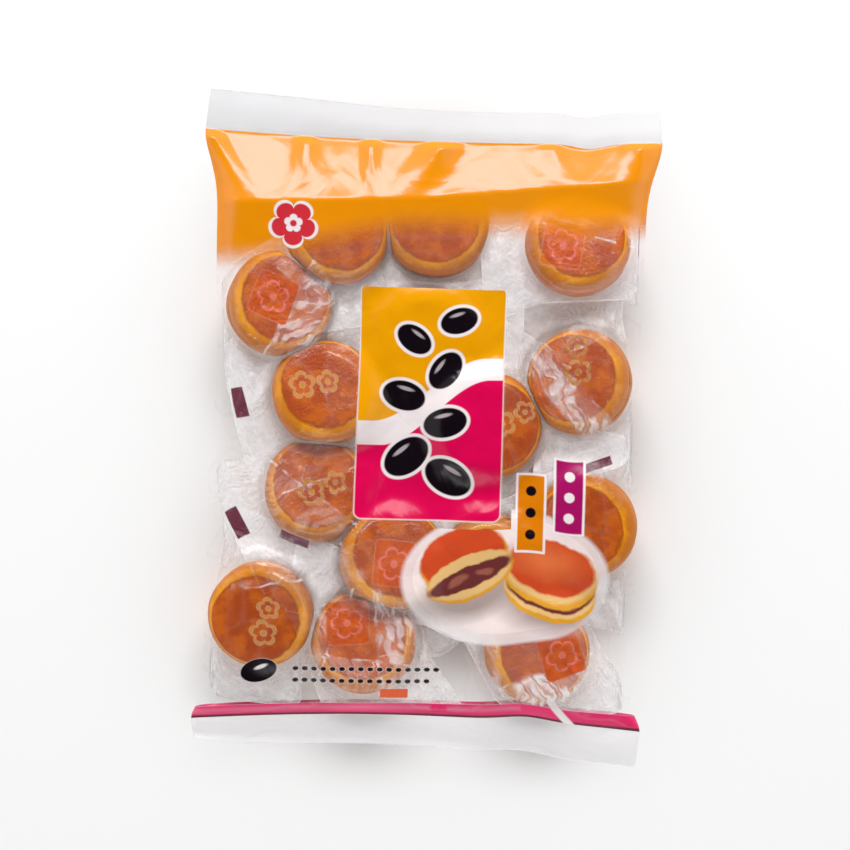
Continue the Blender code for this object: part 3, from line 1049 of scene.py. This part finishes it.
def pressSides(mesh, sweet):  # soft sides flatten where two sweets lie against each other
    points = readPoints(mesh)
    for other in sweets:
        apart = np.array([other["x"] - sweet["x"], other["y"] - sweet["y"]])
        distance = np.hypot(*apart)
        if other is sweet or distance > 2 * sweetSize["radius"] + 1:
            continue
        towards = apart / distance
        share = 0.5 + contact["lowerGives"] * np.sign(sweet["base"] - other["base"])
        overlap = 2 * sweetSize["radius"] - distance
        limit = sweetSize["radius"] - overlap * (1 - share) - contact["gap"]
        reach = (points[:, :2] - [sweet["x"], sweet["y"]]) @ towards
        points[:, :2] -= (reach - squeeze(reach, limit, contact["soft"]))[:, None] * towards
    writePoints(mesh, points)


def layInBag(bm, mesh, sweet):
    mesh.transform(sweetMatrix(sweet) @ Matrix.Rotation(math.radians(sweet["turn"]), 4, "Z"))
    pressSides(mesh, sweet)
    mesh.transform(intoPlace)
    bm.from_mesh(mesh)
    bpy.data.meshes.remove(mesh)


def makeSweets():
    crusts, fillings = bmesh.new(), bmesh.new()
    for number, sweet in enumerate(sweets):
        for upper in (True, False):
            mesh = spunMesh(pancake)
            addNumber(mesh, "tone", toneAt(readPoints(mesh)))
            addNumber(mesh, "golden", sweet["golden"])
            makeUneven(mesh, pancake, 2 * number + upper)
            if upper:
                shiftFace(mesh, sweet)
            else:
                mesh.transform(Matrix.Rotation(math.pi, 4, "X"))
            layInBag(crusts, mesh, sweet)
        mesh = spunMesh(beanLayer)
        makeUneven(mesh, beanLayer, 100 + number)
        layInBag(fillings, mesh, sweet)
    return closeMesh(crusts, "pancakes"), closeMesh(fillings, "beanFillings")


crustLook = {
    "faceLight": (0.56, 0.112, 0.006),
    "faceDark": (0.41, 0.059, 0.005),
    "edge": (0.36, 0.070, 0.006),  # the darker line round the face
    "golden": (0.82, 0.31, 0.004),
    "goldenDark": (0.58, 0.170, 0.004),
    "side": (0.52, 0.150, 0.005),
    # the tones between which each colour takes over, and how ragged these borders are
    "edgeTones": (0.04, 0.16),
    "goldenTones": (0.16, 0.42),
    "sideTones": (0.38, 0.68),
    "ragged": 0.09,
    "roughness": 0.42,
    "relief": 0.0006,
}
beanLook = {
    "dark": (0.045, 0.012, 0.010),
    "light": (0.13, 0.035, 0.025),
    "roughness": 0.38,
    "relief": 0.0008,
}


def metricPlace(tree):  # the place on the object, in millimetres
    place = addNode(tree, "ShaderNodeTexCoord")
    return vectorCalc(tree, "MULTIPLY", place.outputs["Object"], (1000.0, 1000.0, 1000.0))


def crustMaterial():
    material, tree, shader, _ = newMaterial("pancakeCrust")
    place = metricPlace(tree)
    mottle = remap(tree, noiseAt(tree, place, 0.11, 5.0), 0.38, 0.62, smooth=True)
    colour = mixColour(tree, mottle, crustLook["faceDark"], crustLook["faceLight"])
    ragged = crustLook["ragged"]
    drift = remap(tree, noiseAt(tree, place, 0.3), 0.3, 0.7, -ragged, ragged)
    tone = calc(tree, "ADD", numberAt(tree, "tone"), drift)
    colour = mixColour(tree, remap(tree, tone, *crustLook["edgeTones"]), colour, crustLook["edge"])
    uneven = remap(tree, noiseAt(tree, place, 0.045), 0.40, 0.60, 0.0, 0.8, smooth=True)
    golden = mixColour(tree, uneven, crustLook["golden"], crustLook["goldenDark"])
    colour = mixColour(tree, remap(tree, tone, *crustLook["goldenTones"]), colour, golden)
    wider = calc(tree, "MULTIPLY", numberAt(tree, "golden"), 0.25)  # a wider golden edge
    outer = remap(tree, calc(tree, "SUBTRACT", tone, wider), *crustLook["sideTones"])
    colour = mixColour(tree, outer, colour, crustLook["side"])
    feed(tree, shader.inputs["Base Color"], colour)
    shader.inputs["Roughness"].default_value = crustLook["roughness"]
    shader.inputs["Specular IOR Level"].default_value = 0.25
    pores = cellsAt(tree, place, 0.9, feature="SMOOTH_F1")
    height = calc(tree, "ADD", pores, noiseAt(tree, place, 0.6))
    feed(tree, shader.inputs["Normal"], bumpNormal(tree, height, crustLook["relief"], 0.35))
    return material


def beanMaterial():
    material, tree, shader, _ = newMaterial("beanPaste")
    grain = noiseAt(tree, metricPlace(tree), 0.7, 4.0)
    share = remap(tree, grain, 0.35, 0.65)
    colour = mixColour(tree, share, beanLook["dark"], beanLook["light"])
    feed(tree, shader.inputs["Base Color"], colour)
    shader.inputs["Roughness"].default_value = beanLook["roughness"]
    feed(tree, shader.inputs["Normal"], bumpNormal(tree, grain, beanLook["relief"], 0.6))
    return material


print("sweets")
crustMesh, beanMesh = makeSweets()
addPiece("pancakes", crustMesh, [crustMaterial()])
addPiece("beanFillings", beanMesh, [beanMaterial()])


# The wrappers: a clear tube round each sweet, crimped flat at both ends
wrapper = {
    "halfLength": 44.0,
    "crimp": 8.0,
    "halfFlat": 32.0,  # half its width at its ends, and over the sweet
    "halfMiddle": 27.0,
    "height": 10.75,
    "gap": 0.25,  # between its two films where it lies flat
    "columns": 56,
    "rows": 42,
    # how far from its middle it starts to narrow, how wide its dome is, and over what length its
    # two films part, in from the crimp
    "openReach": 17.0,
    "domeReach": 28.0,
    "endRise": 9.0,
    # its creases: their size, their height on the face, how much a crumpled sweet adds, and their
    # height past the face, with the distance and length over which that comes in
    "creaseSize": 9.0,
    "creaseHeights": (0.10, 0.16, 0.85),
    "pastFace": (17.0, 9.0),
    # what the ends do, each with the distance and length over which it comes in: creases of both
    # films, a bend that is drawn for each end, and how far a marked end turns up
    "endCreases": (1.6, 26.0, 10.0),
    "bend": (-5.0, 6.0),
    "bendSpan": (24.0, 20.0),
    "markedLift": (9.0, 27.0, 9.0),
    # how far it stays from the bag's sides and seals, and over what length it crowds there
    "sideRoom": (2.5, 8.0),
    "bottomRoom": (3.0, 8.0),
    "topRoom": (6.0, 10.0),
    # how far it stays above the back film, below the front film and above another sweet, and how
    # far it drops over that sweet's rim, as shares of the radius
    "backGap": 0.4,
    "frontGap": 0.5,
    "sweetGap": 0.5,
    "rimDrop": 6.0,
    "rim": (0.8, 0.2),
    # its loose ends: from how many radii off a sweet, the step from one wrapper's layer to the
    # next, and how far the unmarked ones lie below the marked ones
    "looseSpan": (1.01, 0.18),
    "markedStep": 0.04,
    "plainStep": 0.05,
    "plainDrop": 0.5,
}

# A flap's form: how far it stands up, its creases' height and size, how ragged and how soft its
# edges are, and how far from a sweet's middle it ends
flapForm = {
    "lift": 0.8,
    "creases": (0.6, 13.0),
    "ragged": (1.3, 9.0),
    "soft": 1.6,
    "reach": 25.5,
    "noEdge": 99.0,  # the distance to a fold where there is none
}

# Folded film that lies over a sweet's face: its haze is partly the cloud of the folded film and
# partly painted glare.
# The sweet, the direction from its middle, from how far to how far out, and how much it covers
flaps = (
    (0, -25, 5.0, 30.0, 0.50), (0, 60, 13.0, 18.0, 0.2), (3, 77, 4.5, 12.0, 0.38),
    (5, 222, 1.0, 15.0, 0.60), (5, 120, 13.0, 30.0, 0.16), (7, 112, 3.9, 30.0, 0.07),
    (7, 235, 2.0, 30.0, 0.18), (11, 5, 6.2, 30.0, 0.50), (11, 160, 13.0, 30.0, 0.30),
    (11, 265, 8.0, 30.0, 0.20), (12, 190, 18.5, 21.5, 0.55), (12, -68, 9.0, 30.0, 0.85),
    (8, 215, 15.0, 30.0, 0.2), (10, 100, 13.0, 15.5, 0.2),
)


def flapCover(number, sweet, x, y):  # how much the flaps cover, and how far it is to a fold
    total = np.zeros_like(x)
    toEdge = np.full_like(x, flapForm["noEdge"])
    onSweet = (flapForm["reach"] - np.hypot(x - sweet["x"], y - sweet["y"])) / 2.0
    raggedHeight, raggedSize = flapForm["ragged"]
    for owner, direction, start, end, cover in flaps:
        if owner != number:
            continue
        angle = math.radians(direction)
        along = (x - sweet["x"]) * math.cos(angle) + (y - sweet["y"]) * math.sin(angle)
        along = along + raggedHeight * creases(x, y, raggedSize, 300 + number)
        toEdge = np.where(np.abs(along - start) < np.abs(toEdge), along - start, toEdge)
        starts, ends = (along - start) / flapForm["soft"], (end - along) / flapForm["soft"]
        for edge in (starts + 0.5, ends + 0.5, onSweet):
            cover = cover * np.clip(edge, 0.0, 1.0)
        total = np.maximum(total, cover)
    return total, toEdge


def wrapperPoints(grid, seed, sweet):  # in the sweet's own axes, the wrapper's length along X
    draw = np.random.default_rng(seed)
    p = grid[:, 0] * wrapper["halfLength"]
    reach = np.abs(p)
    tube = wrapper["halfLength"] - wrapper["crimp"]
    opened = ramp(tube - reach, 0.0, tube - wrapper["openReach"])
    opened = opened * opened * (3 - 2 * opened)
    share = spread(grid[:, 1])
    q = share * blendTo(wrapper["halfFlat"], wrapper["halfMiddle"], opened)
    away = np.hypot(p, q)
    dome = wrapper["height"] / (1.0 + (away / wrapper["domeReach"]) ** 8)
    ends = rise((tube - reach) / wrapper["endRise"], 2)
    closed = np.sqrt(np.maximum(0.0, 1.0 - np.abs(share) ** 10)) * ends
    face = np.where(grid[:, 2] > 0.5, 1.0, -1.0)
    size = wrapper["creaseSize"]
    upper, lower = (creases(p, q, size, first + seed)
                    + 0.35 * creases(p, q, size / 2, first + 40 + seed) for first in (40, 140))
    onFace, perCrumple, pastFace = wrapper["creaseHeights"]
    own = blendTo(onFace + perCrumple * sweet["crumple"], pastFace,
                  ramp(away, *wrapper["pastFace"]))
    own = own * np.abs(np.where(face > 0, upper, lower))
    z = face * (wrapper["gap"] / 2 + (dome + own) * closed)
    height, *span = wrapper["endCreases"]
    z = z + height * ramp(reach, *span) * upper
    bend = np.where(p > 0, draw.uniform(*wrapper["bend"]), draw.uniform(*wrapper["bend"]))
    start, length = wrapper["bendSpan"]
    z = z + bend * (np.maximum(reach - start, 0.0) / length) ** 2
    if sweet["mark"]:
        height, *span = wrapper["markedLift"]
        z = z + height * ramp(p, *span)
    return np.stack([p, q, z], 1)


def keepInside(points):  # presses a wrapper's loose ends between the sweets and the bag's film
    x, y, z = points.T.copy()
    side = np.where(x < 0, -1, 1)
    room, soft = wrapper["sideRoom"]
    x = np.sign(x) * squeeze(np.abs(x), halfWidth(side, y) - room, soft)
    room, soft = wrapper["bottomRoom"]
    y = -squeeze(-y, -sealLine(x, False) - room, soft)
    room, soft = wrapper["topRoom"]
    y = squeeze(y, sealLine(x, True) - room, soft)
    return x, y, z, side


def layOver(x, y, z, sweet):  # a wrapper's ends lie over the other sweets
    start, length = wrapper["rim"]
    for other in sweets:
        if other is not sweet:
            away = np.hypot(x - other["x"], y - other["y"]) / sweetSize["radius"]
            drop = wrapper["rimDrop"] * np.clip(away - start, 0, 1) / length
            top = sweetTop(other, x, y) + wrapper["sweetGap"] - drop
            z = np.where(away < 1.0, np.maximum(z, top), z)
    return z


def makeWrapper(number, sweet):
    mesh = filmSlab(wrapper["columns"], wrapper["rows"])
    grid = readPoints(mesh)
    outer = grid[:, 2] > 0.5  # the film that faces up
    turn = Matrix.Rotation(math.radians(sweet["turn"]), 4, "Z")
    place = np.array(sweetMatrix(sweet) @ turn)
    points = wrapperPoints(grid, number, sweet) @ place[:3, :3].T + place[:3, 3]
    x, y, z, side = keepInside(points)
    z = layOver(x, y, z, sweet)
    flap, toEdge = flapCover(number, sweet, x, y)
    height, size = flapForm["creases"]
    folded = flapForm["lift"] + height * creases(x, y, size, 500 + number)
    z = z + outer * flap * folded
    # the loose ends lie in layers, one above the other, and a marked end lies uppermost
    nearest = np.min([np.hypot(x - other["x"], y - other["y"]) for other in sweets], axis=0)
    loose = ramp(nearest / sweetSize["radius"], *wrapper["looseSpan"])
    plain = wrapper["plainDrop"] + wrapper["plainStep"] * number
    layered = loose * (wrapper["markedStep"] * number if sweet["mark"] else plain)
    low = backHeight(x, y, side) + wrapper["backGap"]
    high = frontHeight(x, y, side) - wrapper["frontGap"]
    inner = wrapper["markedStep"] * ~outer  # its lower film lies a step below its upper one
    z = np.minimum(z, np.maximum(high - layered - inner, (low + high) / 2))
    writePoints(mesh, np.stack([x, y, np.maximum(z, low)], 1))
    writeUv(mesh, 0.5 + grid[:, 0] / 2, 0.5 + grid[:, 1] / 2)
    # what the material reads
    onFace = np.hypot(x - sweet["x"], y - sweet["y"]) < sweetSize["radius"] + 2
    crumpled = np.where(onFace, np.maximum(sweet["crumple"], 1.6 * flap), 0.25)
    figure = turn.to_3x3().inverted() @ Vector((sweet["figureX"], sweet["figureY"], 0.0))
    numbers = {
        "loose": loose,
        "veil": sweet["veil"] * (1.0 - loose) * outer,
        "flap": flap * outer,
        "toEdge": np.where(outer & onFace, toEdge, flapForm["noEdge"]),
        "crumple": blendTo(crumpled, 1.0, loose),
        "marked": sweet["mark"],
        "redInk": sweet["ink"] == 1,
        "goldInk": sweet["ink"] == 0,
        "figureX": figure.x,
        "figureY": figure.y,
        "figureTurn": math.radians(sweet["turn"] - sweet["figureTurn"]),
    }
    for name, values in numbers.items():
        addNumber(mesh, name, values)
    mesh.transform(intoPlace)
    return mesh


def makeWrappers():
    bm = bmesh.new()
    for number, sweet in enumerate(sweets):
        mesh = makeWrapper(number, sweet)
        bm.from_mesh(mesh)
        bpy.data.meshes.remove(mesh)
    return closeMesh(bm, "wrappers")


wrapperLook = {
    "haze": 0.42,  # between the sweets, along fold lines, and along the sides and cut ends
    "lineHaze": 0.05,
    "rimHaze": 0.75,
    # a painted glint along a flap's folded edge, laid on as pale haze
    "paintedEdgeGlint": 0.55,  # along a flap's folded edge
    "hazeColour": (0.94, 0.90, 0.91),
    "crumpleSize": 10.0,
    "crumpleSlope": 0.12,
    "foldSize": 4.0,
    "roughness": 0.35,
    "glossRoughness": 0.12,
    "ior": 1.22,
    "mostShine": 0.05,
    "innerShine": 0.02,
    "shineColour": (1.0, 1.0, 1.0),
    # the print, and how much of it covers
    "gold": (0.62, 0.33, 0.06),
    "red": (0.80, 0.20, 0.16),
    "figureCover": 0.65,
    "redPatch": (0.70, 0.09, 0.012),
    "patchHalf": (9.0, 9.8),
    "patchCover": 0.45,
    "mark": (0.16, 0.035, 0.06),
    "markPlace": (39.5, -2.0),
    "markHalf": (2.1, 5.4),
    "markCover": 0.97,
    # blossoms along the figure's Y: place and half size
    "redBlossoms": ((0.0, 7.4),),
    "goldBlossoms": ((5.6, 5.0), (-5.8, 6.0)),
}


def blossomFigure(tree, place, blossoms):  # blossoms in outline, with a dot in their middle
    total = 0.0
    for y, half in blossoms:
        masks = []
        for shape, size in (("blossom", half), ("blossom", half - 1.6), ("oval", 0.24 * half)):
            values = {"Centre": (0.0, y, 0.0), "Half Size": (size, size, 1.0)}
            masks.append(useGroup(tree, groups[shape], Place=place, Edge=0.6, **values)["Mask"])
        outline = calc(tree, "SUBTRACT", masks[0], masks[1])
        total = calc(tree, "MAXIMUM", total, calc(tree, "MAXIMUM", outline, masks[2]))
    return total


def wrapperPrint(tree, place):  # the figure, its patch and the dark mark
    look = wrapperLook
    red, marked = numberAt(tree, "redInk"), numberAt(tree, "marked")
    middle = join(tree, numberAt(tree, "figureX"), numberAt(tree, "figureY"))
    away = vectorCalc(tree, "SUBTRACT", place, middle)
    at = turnZ(tree, away, numberAt(tree, "figureTurn"))
    redFigure = calc(tree, "MULTIPLY", red, blossomFigure(tree, at, look["redBlossoms"]))
    gold = blossomFigure(tree, at, look["goldBlossoms"])
    gold = calc(tree, "MULTIPLY", numberAt(tree, "goldInk"), gold)
    figure = calc(tree, "MAXIMUM", redFigure, gold)
    patch = useGroup(tree, groups["box"], Place=at, Edge=0.6, Rounding=2.0,
                     **{"Half Size": (*look["patchHalf"], 1.0)})["Mask"]
    patch = calc(tree, "MULTIPLY", patch, red)
    markWide, markHigh = look["markHalf"]
    markHalf = join(tree, calc(tree, "MULTIPLY", marked, markWide), markHigh)
    mark = useGroup(tree, groups["box"], Place=place, Edge=0.4,
                    **{"Centre": (*look["markPlace"], 0.0), "Half Size": markHalf})["Mask"]
    mark = calc(tree, "MULTIPLY", mark, calc(tree, "GREATER_THAN", marked, 0.5))
    colour = mixColour(tree, patch, look["hazeColour"], look["redPatch"])
    colour = mixColour(tree, figure, colour, mixColour(tree, red, look["gold"], look["red"]))
    colour = mixColour(tree, mark, colour, look["mark"])
    cover = 0.0
    for mask, name in ((patch, "patchCover"), (figure, "figureCover"), (mark, "markCover")):
        cover = calc(tree, "MAXIMUM", cover, calc(tree, "MULTIPLY", mask, look[name]))
    return colour, cover


def wrapperHaze(tree, place, lines, folds):  # how much the clear film clouds what lies under it
    look = wrapperLook
    loose = numberAt(tree, "loose")
    cloudy = remap(tree, noiseAt(tree, place, 0.12, 5.0), 0.42, 0.62, 0.6, 1.0)
    haze = calc(tree, "MULTIPLY", calc(tree, "MULTIPLY", loose, cloudy), look["haze"])
    haze = calc(tree, "ADD", haze, numberAt(tree, "veil"))
    # the flaps' haze, partly the cloud of folded film and partly painted glare, broken up along
    # their folds, with a painted glint line along each folded edge
    patchy = remap(tree, noiseAt(tree, place, 0.08, 1.5), 0.36, 0.56, 0.3, 1.0, smooth=True)
    folded = remap(tree, folds, 0.34, 0.49, 0.22, 1.0, smooth=True)
    broken = calc(tree, "MULTIPLY", patchy, folded)
    haze = calc(tree, "MULTIPLY_ADD", numberAt(tree, "flap"), broken, haze)
    near = calc(tree, "ABSOLUTE", numberAt(tree, "toEdge"))
    near = remap(tree, near, 0.25, 0.8, 1.0, 0.0, smooth=True)
    strength = remap(tree, noiseAt(tree, place, 0.11, 2.0), 0.42, 0.6, 0.0, look["paintedEdgeGlint"])
    haze = calc(tree, "MAXIMUM", haze, calc(tree, "MULTIPLY", near, strength))
    # thin pale lines along the folded sides and the cut ends
    x, y, _ = split(tree, vectorCalc(tree, "ABSOLUTE", place))
    side = remap(tree, y, wrapper["halfFlat"] - 1.2, wrapper["halfFlat"] - 0.3, smooth=True)
    end = remap(tree, x, wrapper["halfLength"] - 1.0, wrapper["halfLength"] - 0.4, smooth=True)
    rim = calc(tree, "MULTIPLY", calc(tree, "MAXIMUM", side, end), loose)
    haze = calc(tree, "MAXIMUM", haze, calc(tree, "MULTIPLY", rim, look["rimHaze"]))
    return calc(tree, "MULTIPLY_ADD", calc(tree, "MULTIPLY", lines, look["lineHaze"]), loose, haze)


def wrapperMaterial():
    material, tree, shader, output = newMaterial("wrapperFilm")
    place = flatPlace(tree, (2 * wrapper["halfLength"], 2 * wrapper["halfFlat"]))
    colour, printed = wrapperPrint(tree, place)
    crumple = useGroup(tree, groups["crumple"], Place=place, Size=wrapperLook["crumpleSize"])
    folds = useGroup(tree, groups["pulled"], Place=place, Size=wrapperLook["foldSize"])["Height"]
    haze = wrapperHaze(tree, place, crumple["Line"], folds)
    height = calc(tree, "MULTIPLY_ADD", folds, 2.0, crumple["Height"])
    height = calc(tree, "MULTIPLY", height, numberAt(tree, "crumple"))
    cover = calc(tree, "MAXIMUM", printed, haze)
    clearFilm(tree, shader, output, colour, cover, wrapperLook, height)
    return material


print("wrappers")
addPiece("wrappers", makeWrappers(), [wrapperMaterial()])


# Floor, light and camera, in metres unless noted
studio = {
    "floorSize": 6.0,
    "floorDepth": 0.0005,
    "floorColour": (0.97, 0.97, 0.97),
    "floorRoughness": 0.9,
    # a pale room with a darker ceiling: its strength all round and above, and between which
    # heights of the view the one turns into the other
    "roomStrength": (1.25, 0.03),
    "ceilingFrom": (0.5, 0.8),
    # each light's place, size and power
    "topBox": ((0.0, 1.45, 1.02), (1.5, 0.45), 24.5),
    "footBox": ((0.0, -1.4, 0.85), (2.0, 0.25), 4.5),
    "cameraHeight": 1.5,
    "sensorWidth": 36.0,
    "viewWidth": 382.5,  # millimetres across the picture, at this many above the table
    "focusHeight": 14.0,
    "viewMiddle": (0.0, 1.7),  # the bag's point in the middle of the picture, in millimetres
    "roll": 1.83,  # degrees that the bag is turned clockwise in the picture
}


def makeFloor():
    bm = bmesh.new()
    bmesh.ops.create_grid(bm, x_segments=1, y_segments=1, size=studio["floorSize"] / 2)
    bmesh.ops.translate(bm, verts=bm.verts[:], vec=(0.0, 0.0, -studio["floorDepth"]))
    mesh = closeMesh(bm, "floor")
    material, _, shader, _ = newMaterial("paleFloor")
    shader.inputs["Base Color"].default_value = (*studio["floorColour"], 1.0)
    shader.inputs["Roughness"].default_value = studio["floorRoughness"]
    mesh.materials.append(material)
    floor = bpy.data.objects.new("floor", mesh)
    bpy.context.scene.collection.objects.link(floor)


def makeRoom():
    world = bpy.data.worlds.new("studio")
    world.use_nodes = True
    tree = world.node_tree
    _, _, upwards = split(tree, addNode(tree, "ShaderNodeTexCoord").outputs["Generated"])
    strength = remap(tree, upwards, *studio["ceilingFrom"], *studio["roomStrength"], smooth=True)
    background = tree.nodes["Background"]
    background.inputs["Color"].default_value = (1.0, 1.0, 1.0, 1.0)
    feed(tree, background.inputs["Strength"], strength)
    bpy.context.scene.world = world


def makeLight(name):  # a soft box that shines at the bag
    place, size, watts = studio[name]
    data = bpy.data.lights.new(name, "AREA")
    data.shape = "RECTANGLE"
    data.size, data.size_y = size
    data.energy = watts
    lamp = bpy.data.objects.new(name, data)
    bpy.context.scene.collection.objects.link(lamp)
    lamp.location = place
    lamp.rotation_euler = (-Vector(place)).to_track_quat("-Z", "Y").to_euler()


def makeCamera():  # straight above, as in the picture
    data = bpy.data.cameras.new("camera")
    camera = bpy.data.objects.new("camera", data)
    bpy.context.scene.collection.objects.link(camera)
    height = studio["cameraHeight"]
    distance = height / millimetre - studio["focusHeight"]
    data.sensor_width = studio["sensorWidth"]
    data.lens = studio["sensorWidth"] * distance / studio["viewWidth"]
    x, y = studio["viewMiddle"]
    camera.location = (x * millimetre, y * millimetre, height)
    camera.rotation_euler = Euler((0.0, 0.0, math.radians(studio["roll"])))
    bpy.context.scene.camera = camera


print("studio")
makeFloor()
makeRoom()
makeLight("topBox")
makeLight("footBox")
makeCamera()
bpy.context.scene.view_settings.view_transform = "Standard"
bpy.context.scene.cycles.transparent_max_bounces = 32
